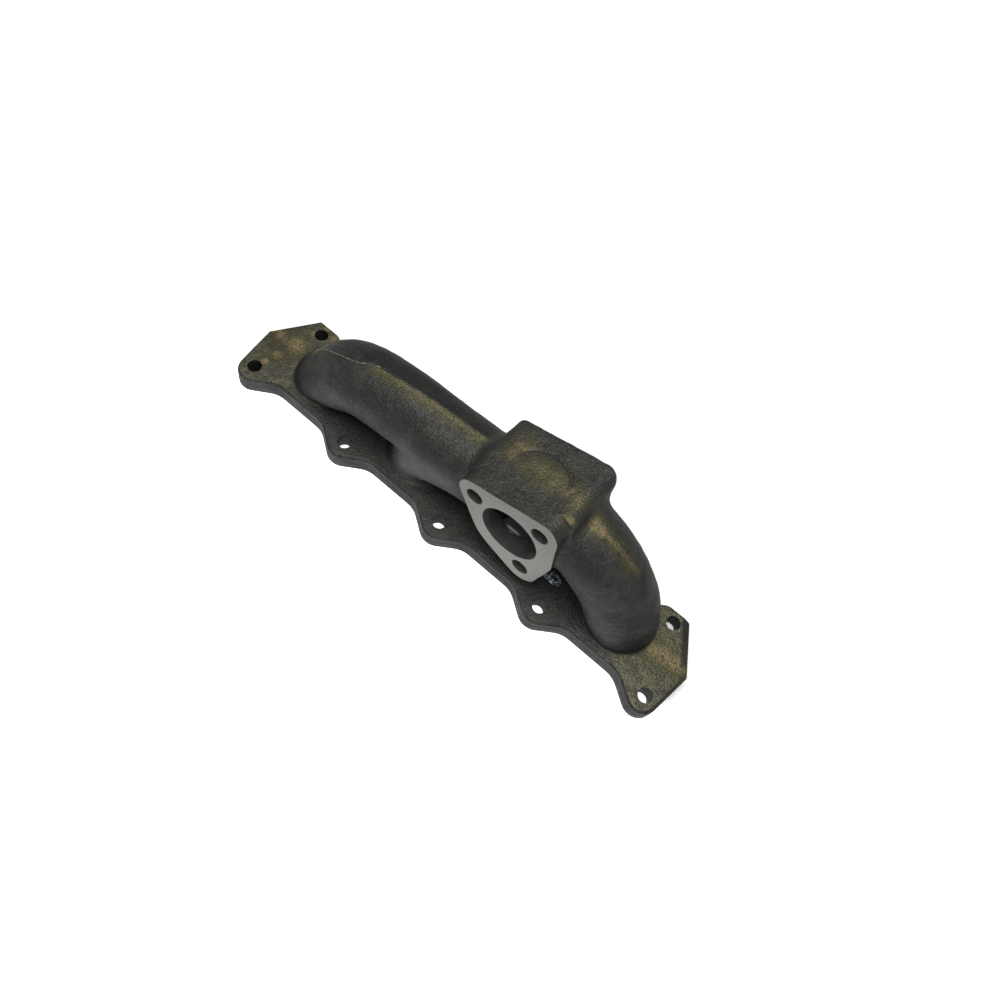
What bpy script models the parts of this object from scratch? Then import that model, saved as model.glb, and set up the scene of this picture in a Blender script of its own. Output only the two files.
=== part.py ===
"""Cast-iron log exhaust manifold for an inline four, with a three-bolt turbo outlet.

The head flange lies flat with its mating face on z = 0. Four runners rise from it into one
log tube that runs along X, and a hood on the log carries the machined outlet face, which
looks along -Y. The casting is built in its functional sections, one object for each, with
a hairline gap between neighbours. Lengths below are in millimetres.
"""
import math

import bmesh
import bpy
from mathutils import Matrix, Vector

MM = 0.001
GAP = 0.3               # hairline between neighbouring sections

# Head flange
FLANGE_T = 13.0
CYL_PITCH = 88.0
STUD_Y = 26.45          # stud rows lie this far either side of the centre line
STUD_R = 5.0
LOBE_R = 12.85
FLAT_Y = 26.5           # flats between the lobes
END_STUD_X = 162.85     # the rear row's outermost studs sit further in than the front row's
REAR_Y = 35.2           # the rear lobes are cut off straight
END_X = 191.3           # points of the two ends
PORT_Y = 4.5
PORT_R = 17.5
EDGE_ROUND = 2.2

# Tubes
TUBE_R = 25.2
BORE_R = 18.6
FOOT_R = 24.0
FOOT_FILLET = 1.4
MAX_TWIST = 1 / 46.0    # how fast a foot's rings may lean over, radians per mm

# Centre line of the end runners and the log, as B-spline control points (x, z)
LOG_LINE = [(-132.6, 13.3), (-132.0, 15.0), (-121.5, 26.0), (-105.6, 43.4), (-82.2, 51.9),
            (-52.2, 53.8), (-20.0, 55.1), (11.8, 58.0), (39.5, 64.3), (62.6, 71.2),
            (83.7, 71.5), (103.2, 60.4), (120.1, 44.5), (129.8, 27.0), (133.6, 16.5),
            (133.8, 13.3)]
SPLIT_X = 82.0          # the log tube ends and the end runners begin at x = +-82

# Runner from the second port, leaning into the underside of the log
SECOND_LINE = [(-44.0, 13.3), (-44.0, 18.0), (-34.0, 30.0), (-18.0, 39.0), (0.0, 46.5),
               (16.0, 52.0)]
SECOND_R = 22.6
SECOND_FOOT_R = 23.2
SECOND_BORE_R = 17.6

# Runner from the third port, straight up into the log
THIRD_X = 44.0
THIRD_R = 21.2
THIRD_FOOT_R = 20.4
THIRD_BORE_R = 17.5

# Outlet
OUT_X = 48.5
OUT_Z = 66.7
OUT_Y = -25.0           # plane of the machined face
OUT_T = 12.4
OUT_BORE_R = 21.0
OUT_BOLT_R = 6.2
OUT_BOLTS = [(-29.5, 10.1), (17.7, 24.6), (15.1, -28.1)]
# outline corners relative to the bore (x, z, corner radius)
OUT_SHAPE = [(-48.3, 18.7, 12.0), (-19.9, -27.9, 32.0), (24.0, -48.1, 13.0),
             (33.1, -1.5, 2.0), (29.7, 30.5, 3.0), (23.1, 40.6, 9.0)]

# Hood over the log
HOOD_LEFT = 6.2
HOOD_RIGHT = 80.0
HOOD_REAR = 34.4
HOOD_EDGE = 2.4         # rounding of the hood's rear edge
HOOD_SLOPE = 0.306      # the roof climbs to the right
ROOF_X = 12.8
ROOF_Z = 89.3
PAD_AT = (43.0, 8.0)
PAD_HALF = (19.0, 12.0)
PAD_T = 1.0

IRON = (0.035, 0.034, 0.030)
MACHINED = (0.36, 0.35, 0.32)

for old in list(bpy.data.objects):
    bpy.data.objects.remove(old, do_unlink=True)
for old in list(bpy.data.collections):
    bpy.data.collections.remove(old)

home = bpy.data.collections.new("exhaust_manifold")
bpy.context.scene.collection.children.link(home)
cutters = bpy.data.collections.new("cutters")
bpy.context.scene.collection.children.link(cutters)


def material(name, colour, roughness, metallic):
    mat = bpy.data.materials.new(name)
    mat.use_nodes = True
    shader = mat.node_tree.nodes["Principled BSDF"]
    shader.inputs["Base Color"].default_value = (*colour, 1.0)
    shader.inputs["Roughness"].default_value = roughness
    shader.inputs["Metallic"].default_value = metallic
    return mat


def add(name, mesh, mat=None):
    """Put a mesh in the scene as a finished section, or as a hidden cutter without a material."""
    obj = bpy.data.objects.new(name, mesh)
    if mat is None:
        cutters.objects.link(obj)
        obj.hide_render = True
        obj.display_type = 'WIRE'
        return obj
    home.objects.link(obj)
    mesh.materials.clear()
    mesh.materials.append(mat)
    return obj


def boolean(obj, cutter, operation='DIFFERENCE'):
    mod = obj.modifiers.new(operation.lower(), 'BOOLEAN')
    mod.operation = operation
    mod.solver = 'EXACT'
    mod.object = cutter


def weigh_edges(mesh, chosen):
    """Give full bevel weight to the edges whose two ends are both chosen."""
    bm = bmesh.new()
    bm.from_mesh(mesh)
    weights = bm.edges.layers.float.new("bevel_weight_edge")
    for edge in bm.edges:
        edge[weights] = 1.0 if all(chosen(v) for v in edge.verts) else 0.0
    bm.to_mesh(mesh)
    bm.free()


def round_weighed(obj, width):
    mod = obj.modifiers.new("edge_round", 'BEVEL')
    mod.limit_method = 'WEIGHT'
    mod.width = width * MM
    mod.segments = 2


def smooth(obj, angle=35.0):
    for poly in obj.data.polygons:
        poly.use_smooth = True
    obj.data.set_sharp_from_angle(angle=math.radians(angle))


def rounded(corners, step=math.radians(15)):
    """Outline through (x, y, radius) corners given in order round the shape."""
    points = []
    count = len(corners)
    for i, (x, y, radius) in enumerate(corners):
        here = Vector((x, y))
        back = (Vector(corners[i - 1][:2]) - here).normalized()
        ahead = (Vector(corners[(i + 1) % count][:2]) - here).normalized()
        half = back.angle(ahead) / 2
        if radius <= 0:
            points.append(here)
            continue
        centre = here + (back + ahead).normalized() * radius / math.sin(half)
        first = here + back * radius / math.tan(half) - centre
        last = here + ahead * radius / math.tan(half) - centre
        turn = first.angle_signed(last)
        pieces = max(2, round(abs(turn) / step))
        for k in range(pieces + 1):
            points.append(centre + Matrix.Rotation(-turn * k / pieces, 2) @ first)
    return [(p.x, p.y) for p in points]


def slab(name, outline, thickness):
    """Flat plate with the given outline, between z = 0 and the thickness."""
    bm = bmesh.new()
    base = bm.faces.new([bm.verts.new((x * MM, y * MM, 0)) for x, y in outline])
    top = bmesh.ops.extrude_face_region(bm, geom=[base])["geom"]
    raised = [item for item in top if isinstance(item, bmesh.types.BMVert)]
    bmesh.ops.translate(bm, verts=raised, vec=(0, 0, thickness * MM))
    bmesh.ops.recalc_face_normals(bm, faces=bm.faces)
    mesh = bpy.data.meshes.new(name)
    bm.to_mesh(mesh)
    bm.free()
    return mesh


def stand_up(mesh, front_y):
    """Turn a flat plate so its outline lies in XZ and its thickness runs back from front_y."""
    mesh.transform(Matrix.Translation((0, front_y * MM, 0)) @ Matrix.Rotation(math.radians(90), 4, 'X')
                   @ Matrix.Scale(-1, 4, (0, 0, 1)))
    mesh.flip_normals()
    return mesh


def rod(name, radius, low, high, sides=40):
    """Plain solid cylinder between two points, used as a cutter."""
    start = Vector(low)
    end = Vector(high)
    bm = bmesh.new()
    bmesh.ops.create_cone(bm, cap_ends=True, segments=sides, radius1=radius * MM,
                          radius2=radius * MM, depth=(end - start).length * MM)
    mesh = bpy.data.meshes.new(name)
    bm.to_mesh(mesh)
    bm.free()
    turn = Vector((0, 0, 1)).rotation_difference((end - start).normalized()).to_matrix().to_4x4()
    mesh.transform(Matrix.Translation((start + end) / 2 * MM) @ turn)
    return add(name, mesh)


def b_spline(control, steps):
    """Clamped uniform cubic B-spline through the control polygon, as (x, z) vectors."""
    degree = 3
    count = len(control)
    spans = count - degree
    knots = [0.0] * degree + [k / spans for k in range(spans + 1)] + [1.0] * degree
    line = []
    for step in range(steps + 1):
        u = min(step / steps, 1 - 1e-9)
        span = degree + int(u * spans)
        local = [Vector(control[span - degree + j]) for j in range(degree + 1)]
        for level in range(1, degree + 1):
            for j in range(degree, level - 1, -1):
                low = knots[span - degree + j]
                share = (u - low) / (knots[span + 1 + j - level] - low)
                local[j] = local[j - 1].lerp(local[j], share)
        line.append(local[degree])
    return line


def stations(line, lag_start=True, lag_end=False):
    """Ring centres with their lean from vertical; a foot's rings lean over only slowly."""
    lean = []
    for i in range(len(line)):
        ahead = line[min(i + 1, len(line) - 1)] - line[max(i - 1, 0)]
        lean.append(math.atan2(ahead.x, ahead.y))
    run = [0.0]
    for a, b in zip(line, line[1:]):
        run.append(run[-1] + (b - a).length)
    for i in range(len(line)):
        if lag_start:
            lean[i] = min(lean[i], run[i] * MAX_TWIST)
        if lag_end:
            lean[i] = max(lean[i], math.pi - (run[-1] - run[i]) * MAX_TWIST)
    return list(zip(line, lean))


def foot_radius(height, foot, radius):
    """Radius near the flange: a small cast fillet, then the foot's own radius, then the tube's."""
    flare = 0.0
    if height < FOOT_FILLET:
        flare = FOOT_FILLET - math.sqrt(FOOT_FILLET ** 2 - (FOOT_FILLET - height) ** 2)
    blend = min(1.0, height / 14.0)
    return flare + foot + (radius - foot) * blend


def ring(bm, centre, lean, radius, sides, shift=0.0):
    along = Vector((math.sin(lean), 0, math.cos(lean)))
    across = Vector((math.cos(lean), 0, -math.sin(lean)))
    middle = Vector((centre.x, PORT_Y, centre.y)) + along * shift
    loop = []
    for k in range(sides):
        turn = 2 * math.pi * k / sides
        point = middle + (across * math.cos(turn) + Vector((0, 1, 0)) * math.sin(turn)) * radius
        loop.append(bm.verts.new(point * MM))
    return loop


def skin(bm, first, second):
    count = len(first)
    for k in range(count):
        nxt = (k + 1) % count
        bm.faces.new((first[k], first[nxt], second[nxt], second[k]))


def pipe(name, places, outer, inner=None, sides=32, ends=(0.0, 0.0)):
    """Loft a tube through its stations; inner is the bore, and without it the tube is solid."""
    bm = bmesh.new()
    walls = []
    for radii in (outer, inner):
        if radii is None:
            continue
        loops = []
        for i, (centre, lean) in enumerate(places):
            shift = ends[0] if i == 0 else ends[1] if i == len(places) - 1 else 0.0
            loops.append(ring(bm, centre, lean, radii[i], sides, shift))
        for first, second in zip(loops, loops[1:]):
            skin(bm, first, second)
        walls.append(loops)
    if inner is None:
        bm.faces.new(walls[0][0])
        bm.faces.new(walls[0][-1])
    else:
        skin(bm, walls[0][0], walls[1][0])
        skin(bm, walls[0][-1], walls[1][-1])
    bmesh.ops.recalc_face_normals(bm, faces=bm.faces)
    mesh = bpy.data.meshes.new(name)
    bm.to_mesh(mesh)
    bm.free()
    return mesh


# ---------------------------------------------------------------- head flange
def flange_outline():
    """Scalloped plate: a lobe about every stud, flats between, pointed ends."""
    slope = math.radians(34.7)
    apex = STUD_Y + LOBE_R / math.cos(slope)
    foot = (apex - FLAT_Y) / math.tan(slope)
    cut = (apex - REAR_Y) / math.tan(slope)
    tip = STUD_Y + LOBE_R
    end = 2 * CYL_PITCH
    front = [(-end - 9.1, -tip, 11.0), (-end + 4.0, -tip, 11.0), (-end + foot, -FLAT_Y, 18.0)]
    for x in (-CYL_PITCH, 0.0, CYL_PITCH):
        front += [(x - foot, -FLAT_Y, 18.0), (x, -apex, LOBE_R), (x + foot, -FLAT_Y, 18.0)]
    front += [(end - foot, -FLAT_Y, 18.0), (end - 4.0, -tip, 11.0), (end + 9.1, -tip, 11.0)]
    right_end = [(END_X, 2.2, 2.0), (171.7, REAR_Y, 2.0)]
    rear = [(END_STUD_X - cut, REAR_Y, 8.0), (END_STUD_X - foot, FLAT_Y, 18.0)]
    for x in (CYL_PITCH, 0.0, -CYL_PITCH):
        rear += [(x + foot, FLAT_Y, 18.0), (x + cut, REAR_Y, 8.0),
                 (x - cut, REAR_Y, 8.0), (x - foot, FLAT_Y, 18.0)]
    rear += [(foot - END_STUD_X, FLAT_Y, 18.0), (cut - END_STUD_X, REAR_Y, 8.0)]
    left_end = [(-171.7, REAR_Y, 2.0), (-END_X, 2.2, 2.0)]
    return rounded(front + right_end + rear + left_end)


stud_holes = [((i - 2) * CYL_PITCH, -STUD_Y) for i in range(5)]
stud_holes += [(x, STUD_Y) for x in (-END_STUD_X, -CYL_PITCH, 0.0, CYL_PITCH, END_STUD_X)]
port_x = [-1.5 * CYL_PITCH, -0.5 * CYL_PITCH, 0.5 * CYL_PITCH, 1.5 * CYL_PITCH]

plate = slab("head_flange", flange_outline(), FLANGE_T)
weigh_edges(plate, lambda v: v.co.z > FLANGE_T * MM - 1e-6)
head_flange = add("head_flange", plate, material("head_flange", IRON, 0.6, 0.3))
round_weighed(head_flange, EDGE_ROUND)
for i, (x, y) in enumerate(stud_holes):
    boolean(head_flange, rod(f"stud_cut_{i}", STUD_R, (x, y, -5), (x, y, 20), 20))
for i, x in enumerate(port_x):
    boolean(head_flange, rod(f"port_cut_{i}", PORT_R, (x, PORT_Y, -5), (x, PORT_Y, 20), 36))

# ---------------------------------------------------------------- end runners and log tube
log_places = stations(b_spline(LOG_LINE, 60), lag_start=True, lag_end=True)
log_outer = []
log_inner = []
for centre, lean in log_places:
    height = centre.y - FLANGE_T - GAP
    near_foot = abs(centre.x) > SPLIT_X
    log_outer.append(foot_radius(height, FOOT_R, TUBE_R) if near_foot else TUBE_R)
    log_inner.append(BORE_R)
first_cut = max(i for i, (c, lean) in enumerate(log_places) if c.x < -SPLIT_X)
last_cut = min(i for i, (c, lean) in enumerate(log_places) if c.x > SPLIT_X)


def section(name, start, stop, ends, solid_extra=None):
    if solid_extra is not None:
        return pipe(name, log_places[start:stop], [TUBE_R + solid_extra] * (stop - start))
    return pipe(name, log_places[start:stop], log_outer[start:stop], log_inner[start:stop],
                ends=ends)


half_gap = GAP / 2
runner_1 = add("runner_1", section("runner_1", 0, first_cut + 1, (0, -half_gap)),
               material("runner_1", IRON, 0.6, 0.3))
log_tube = add("log_tube", section("log_tube", first_cut, last_cut + 1, (half_gap, -half_gap)),
               material("log_tube", IRON, 0.6, 0.3))
runner_4 = add("runner_4", section("runner_4", last_cut, len(log_places), (half_gap, 0)),
               material("runner_4", IRON, 0.6, 0.3))
log_body = add("log_body", section("log_body", first_cut - 4, last_cut + 5, (0, 0), GAP))

# ---------------------------------------------------------------- outlet plate and its cutters
outlet_corners = [(OUT_X + x, OUT_Z + z, r) for x, z, r in OUT_SHAPE]
outlet_loop = rounded(outlet_corners)
outlet = stand_up(slab("outlet_flange", outlet_loop, OUT_T), OUT_Y)
outlet_flange = add("outlet_flange", outlet, material("outlet_flange", MACHINED, 0.45, 0.8))

clearance = slab("outlet_clearance", outlet_loop, 40.0)
clearance = stand_up(clearance, OUT_Y + OUT_T - 40.0 + GAP)
outlet_room = add("outlet_room", clearance)
outlet_bore = rod("outlet_bore", OUT_BORE_R, (OUT_X, -30, OUT_Z), (OUT_X, PORT_Y, OUT_Z))
boolean(outlet_flange, outlet_bore)
for i, (x, z) in enumerate(OUT_BOLTS):
    at = (OUT_X + x, OUT_Z + z)
    boolean(outlet_flange, rod(f"bolt_cut_{i}", OUT_BOLT_R, (at[0], -30, at[1]), (at[0], 0, at[1]), 20))

# ---------------------------------------------------------------- second and third runners
second_places = stations(b_spline(SECOND_LINE, 14))
second_outer = [foot_radius(c.y - FLANGE_T - GAP, SECOND_FOOT_R, SECOND_R)
                for c, lean in second_places]
second_inner = [SECOND_BORE_R] * len(second_places)
runner_2 = add("runner_2", pipe("runner_2", second_places, second_outer, second_inner, 32),
               material("runner_2", IRON, 0.6, 0.3))
second_bore = add("second_bore", pipe("second_bore", second_places[4:], second_inner[4:], None, 32))

third_line = [Vector((THIRD_X, FLANGE_T + GAP + h)) for h in (0.0, 0.5, 1.4, 6.0, 14.0, 42.0)]
third_places = [(c, 0.0) for c in third_line]
third_outer = [foot_radius(c.y - FLANGE_T - GAP, THIRD_FOOT_R, THIRD_R) for c in third_line]
third_inner = [THIRD_BORE_R] * len(third_line)
runner_3 = add("runner_3", pipe("runner_3", third_places, third_outer, third_inner, 32),
               material("runner_3", IRON, 0.6, 0.3))
third_bore = rod("third_bore", THIRD_BORE_R, (THIRD_X, PORT_Y, 20), (THIRD_X, PORT_Y, 60), 32)

boolean(log_tube, outlet_room)
boolean(log_tube, outlet_bore)
boolean(log_tube, second_bore)
boolean(log_tube, third_bore)
third_body = rod("third_body", THIRD_R + GAP + 0.1, (THIRD_X, PORT_Y, 10), (THIRD_X, PORT_Y, 70), 32)
boolean(runner_4, outlet_room)
boolean(runner_2, third_body)
for runner in (runner_2, runner_3):
    boolean(runner, log_body)
    boolean(runner, outlet_room)

# ---------------------------------------------------------------- hood
def roof(x):
    return ROOF_Z + HOOD_SLOPE * (x - ROOF_X)


hood_side = rounded([(HOOD_LEFT, 53.0, 2.0), (HOOD_RIGHT + 1.5, 62.0, 2.0),
                     (HOOD_RIGHT, roof(HOOD_RIGHT), 8.2), (HOOD_LEFT, roof(HOOD_LEFT), 7.0)],
                    math.radians(7.5))
hood_front = OUT_Y + OUT_T + GAP
hood_mesh = stand_up(slab("collector_hood", hood_side, HOOD_REAR - hood_front), hood_front)
weigh_edges(hood_mesh, lambda v: v.co.y > HOOD_REAR * MM - 1e-6)
collector_hood = add("collector_hood", hood_mesh, material("collector_hood", IRON, 0.65, 0.25))
round_weighed(collector_hood, HOOD_EDGE)
hood_plan = rounded([(-20, -60, 1.0), (120, -60, 1.0), (HOOD_RIGHT + 2, HOOD_REAR, 12.0),
                     (HOOD_LEFT - 0.5, HOOD_REAR, 4.5)])
plan_room = add("hood_plan", slab("hood_plan", hood_plan, 140.0))
boolean(collector_hood, plan_room, 'INTERSECT')
boolean(collector_hood, log_body)

# ---------------------------------------------------------------- raised oval on the roof
oval = [(PAD_HALF[0] * math.cos(2 * math.pi * k / 36), PAD_HALF[1] * math.sin(2 * math.pi * k / 36))
        for k in range(36)]
roof_pad = add("roof_pad", slab("roof_pad", oval, PAD_T), material("roof_pad", IRON, 0.65, 0.25))
roof_pad.location = (PAD_AT[0] * MM, PAD_AT[1] * MM, (roof(PAD_AT[0]) + GAP + 0.05) * MM)
roof_pad.rotation_euler = (0, -math.atan(HOOD_SLOPE), 0)

# ---------------------------------------------------------------- rough gate stub on the flange
bm = bmesh.new()
bmesh.ops.create_cone(bm, cap_ends=True, segments=12, radius1=5.2 * MM, radius2=4.2 * MM,
                      depth=1.0 * MM)
stub = bpy.data.meshes.new("gate_stub")
bm.to_mesh(stub)
bm.free()
gate_stub = add("gate_stub", stub, material("gate_stub", IRON, 0.7, 0.2))
gate_stub.location = (82.0 * MM, -4.5 * MM, (FLANGE_T + GAP + 0.55) * MM)

for obj in home.objects:
    smooth(obj)
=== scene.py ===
"""Visual model of a bare cast-iron log exhaust manifold, laid on its head flange.

The cast skin is worked out as one smooth distance field, so tubes, hood and outlet run into
each other with cast fillets, and is then parted into closed pieces along flat cuts. The head
flange, roof pad, gate mark, parting flash and outlet threads are modelled as meshes of their
own. Lengths are in millimetres until a mesh is made.
"""
import math

import bmesh
import bpy
import numpy as np
from mathutils import Matrix, Vector


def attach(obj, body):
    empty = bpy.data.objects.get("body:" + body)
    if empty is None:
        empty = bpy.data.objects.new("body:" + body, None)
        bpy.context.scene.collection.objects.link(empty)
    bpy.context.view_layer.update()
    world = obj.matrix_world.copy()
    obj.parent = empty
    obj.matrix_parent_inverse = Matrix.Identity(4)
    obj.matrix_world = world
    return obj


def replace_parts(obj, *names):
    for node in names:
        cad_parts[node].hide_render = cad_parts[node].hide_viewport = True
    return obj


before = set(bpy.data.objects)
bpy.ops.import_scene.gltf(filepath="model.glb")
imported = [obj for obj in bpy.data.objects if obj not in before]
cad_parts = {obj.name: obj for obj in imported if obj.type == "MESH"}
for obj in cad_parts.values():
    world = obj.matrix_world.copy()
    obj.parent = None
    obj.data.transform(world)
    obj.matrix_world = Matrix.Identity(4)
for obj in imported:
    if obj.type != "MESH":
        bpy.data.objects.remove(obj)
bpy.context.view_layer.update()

MM = 0.001
STEP = 1.0       # spacing of the field's grid

# Head flange
FLANGE_T = 13.0
CYL_PITCH = 88.0
STUD_Y = 26.45
STUD_R = 4.9
LOBE_R = 12.85
FLAT_Y = 26.5
END_STUD_X = 162.85
REAR_Y = 35.2
END_X = 191.3
PORT_Y = 4.5
PORT_R = 17.5
FLANK_SLOPE = math.radians(34.7)        # the scallops' flanks against the flange's length
SCALLOP_R = 18.0        # hollow corners between lobe and flat
CORNER_R = 11.0         # the four front corners of the two ends
END_CUT_X = 171.7       # the ends are cut from here to their points
END_CUT_Y = 2.2
DRAFT = 0.32            # the rim leans in this much over its height
EDGE_ROUND = 2.2
SAWN_DRAFT = 0.08
SAWN_ROUND = 0.8        # edge of the straight cut ends and rear lobes
GROUND_WIDE, GROUND_NARROW = 5.0, 1.8   # flats ground along the two cuts of the right end

# Tubes
TUBE_R = 25.2
BORE_R = 18.6
FOOT_R = 24.0
FOOT_H = 14.0           # a foot grows into its tube over this height
MAX_TWIST = 1 / 46.0    # how fast a foot's rings may lean over, radians per mm
LOG_LAG = 0.7           # the log's middle lies this much further back than the ports
SPLIT_X = 82.0          # the log lies between here and the same place on the left
LOG_LINE = [(-132.6, 13.3), (-132.0, 15.0), (-121.5, 26.0), (-105.6, 43.4), (-82.2, 51.9),
            (-52.2, 53.8), (-20.0, 55.1), (11.8, 58.0), (39.5, 64.3), (62.6, 71.2),
            (83.7, 71.5), (103.2, 60.4), (120.1, 44.5), (129.8, 27.0), (133.6, 16.5),
            (133.8, 13.3)]
SECOND_LINE = [(-44.0, 13.3), (-44.0, 18.0), (-34.0, 30.0), (-18.0, 39.0), (0.0, 46.5),
               (16.0, 52.0)]
SECOND_R = 22.6
SECOND_FOOT_R = 23.2
SECOND_BORE_R = 17.6
SECOND_THIN = 0.3       # share of its radius that runner 2 loses by its upper end
SECOND_THIN_FROM = 0.45
THIRD_X = 44.0
THIRD_R = 21.2
THIRD_TOP = 55.0

# Outlet
OUT_X = 48.5
OUT_Z = 66.7
OUT_Y = -25.0
OUT_BACK_Y = -12.6
OUT_BORE_R = 21.0
OUT_BOLT_R = 6.2
HOLE_DEPTH = 11.8
THREAD_PITCH = 1.75
OUT_BOLTS = [(-29.5, 10.1), (17.7, 24.6), (15.1, -28.1)]
OUT_SHAPE = [(-48.3, 18.7, 12.0), (-19.9, -27.9, 32.0), (24.0, -48.1, 13.0),
             (33.1, -1.5, 2.0), (29.7, 30.5, 3.0), (23.1, 40.6, 9.0)]

# Hood
HOOD_LEFT = 6.2
HOOD_RIGHT = 80.0
HOOD_BOTTOM = 50.0
HOOD_REAR = 34.85
HOOD_EDGE = 5.0         # rounding between roof and walls
HOOD_SLOPE = 0.306
ROOF_X = 12.8
ROOF_Z = 89.3
PAD_AT = (42.5, 7.5)
PAD_HALF = (19.0, 11.6)
PAD_TURN = math.radians(-9)
PAD_T = 1.0
GROOVE_OUT = 0.6        # the groove behind the pad runs this far outside it
GROOVE_R = 1.2

GATE_AT = (81.4, -4.8)
GATE_HALF = (8.6, 4.2)

# Parting line: left on runner 1 as a thin flash (sixtieths of the log's line, degrees from its
# crown), and dressed down to a low seam along the log
FLASH_TURNS = [(4.6, -11), (6, -9), (7, -8), (8, -11), (9, -14), (10, -15), (11, -16), (12, -14.5),
               (13, -8), (14, -2), (15, 0)]
FLASH_R = 0.5
SEAM_TURN = 7.0
SEAM_R = 0.9

# Flat cuts between the pieces
FEET_Z = 12.99
LEFT_X, MIDDLE_X, RIGHT_X = -SPLIT_X, -3.0, 88.0
SECOND_Z = 20.0
THIRD_Z = 18.0
PLATE_Y = -23.5
SNAP = 0.08             # points of the skin this near to a cut are moved onto it

# Camera, and the floor's glow: the edges of its bands, from none to full
AZIMUTH, ELEVATION, ROLL = (math.radians(a) for a in (21.52, 62.47, 20.21))
CAMERA_AIM = (17.01, 21.39, 0)
CAMERA_AWAY = 583.3
LENS, SENSOR = 29.5, 36.0
FLOOR_HALF = 6000
FLOOR_Z = -0.1
GLOW_NEAR = (-10, -35)
GLOW_FAR = (-135, -58)
GLOW_SIDE = (380, 200)
GLOW_OUT = (200, 700)


# -------------------- outlines and lines
def rounded(corners, insets=0.0, step=math.radians(7.5)):
    """Outline through (x, y, radius) corners given in order, each edge drawn in by its inset."""
    points = []
    count = len(corners)
    spots = [Vector(c[:2]) for c in corners]
    if isinstance(insets, float):
        insets = [insets] * count
    area = sum(spots[i - 1].cross(spots[i]) for i in range(count))
    facing = 1.0 if area > 0 else -1.0
    for i, (x, y, radius) in enumerate(corners):
        back = (spots[i - 1] - spots[i]).normalized()
        ahead = (spots[(i + 1) % count] - spots[i]).normalized()
        half = back.angle(ahead) / 2
        before, after = insets[i - 1], insets[i]
        sine = back.cross(ahead)
        here = spots[i] - (ahead * before + back * after) * (facing / sine)
        convex = facing * sine < 0
        mean = (before + after) / 2
        reach = max(0.02, radius - mean if convex else radius + mean)
        centre = here + (back + ahead).normalized() * reach / math.sin(half)
        first = here + back * reach / math.tan(half) - centre
        last = here + ahead * reach / math.tan(half) - centre
        turn = first.angle_signed(last)
        pieces = max(2, round(abs(turn) / step))
        for k in range(pieces + 1):
            points.append(centre + Matrix.Rotation(-turn * k / pieces, 2) @ first)
    return [(p.x, p.y) for p in points]


def b_spline(control, steps):
    """Clamped uniform cubic B-spline through the control polygon, as (x, z) vectors."""
    degree = 3
    count = len(control)
    spans = count - degree
    knots = [0.0] * degree + [k / spans for k in range(spans + 1)] + [1.0] * degree
    line = []
    for step in range(steps + 1):
        u = min(step / steps, 1 - 1e-9)
        span = degree + int(u * spans)
        local = [Vector(control[span - degree + j]) for j in range(degree + 1)]
        for level in range(1, degree + 1):
            for j in range(degree, level - 1, -1):
                low = knots[span - degree + j]
                share = (u - low) / (knots[span + 1 + j - level] - low)
                local[j] = local[j - 1].lerp(local[j], share)
        line.append(local[degree])
    return line


def stations(line, lag_end=False):
    """Ring centres with their lean from vertical; a foot's rings lean over only slowly."""
    lean = []
    for i in range(len(line)):
        ahead = line[min(i + 1, len(line) - 1)] - line[max(i - 1, 0)]
        lean.append(math.atan2(ahead.x, ahead.y))
    run = [0.0]
    for a, b in zip(line, line[1:]):
        run.append(run[-1] + (b - a).length)
    for i in range(len(line)):
        lean[i] = min(lean[i], run[i] * MAX_TWIST)
        if lag_end:
            lean[i] = max(lean[i], math.pi - (run[-1] - run[i]) * MAX_TWIST)
    return list(zip(line, lean))


def link(obj):
    bpy.context.scene.collection.objects.link(obj)


def roof(x):
    return ROOF_Z + HOOD_SLOPE * (x - ROOF_X)


# -------------------- distance field
X = np.arange(-164.0, 165.0, STEP, dtype=np.float32)
Y = np.arange(-30.0, 38.0, STEP, dtype=np.float32)
Z = np.arange(9.0, 110.0, STEP, dtype=np.float32)
GRID = (len(X), len(Y), len(Z))


def soft_min(a, b, reach):
    share = np.maximum(reach - np.abs(a - b), 0) / reach
    return np.minimum(a, b) - share * share * reach / 4


def soft_max(a, b, reach):
    return -soft_min(-a, -b, reach)


def outline_distance(loop, U, V):
    """Signed distance to a closed outline over the grid U by V, negative inside."""
    P, Q = np.meshgrid(U, V, indexing='ij')
    best = np.full(P.shape, 1e9)
    inside = np.zeros(P.shape, bool)
    for (ax, ay), (bx, by) in zip(loop, loop[1:] + loop[:1]):
        ex, ey = bx - ax, by - ay
        share = np.clip(((P - ax) * ex + (Q - ay) * ey) / max(ex * ex + ey * ey, 1e-12), 0, 1)
        best = np.minimum(best, np.hypot(P - ax - share * ex, Q - ay - share * ey))
        crosses = (ay > Q) != (by > Q)
        with np.errstate(divide='ignore', invalid='ignore'):
            inside ^= crosses & (P < ax + (Q - ay) * ex / ey)
    return np.where(inside, -best, best).astype(np.float32)


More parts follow.
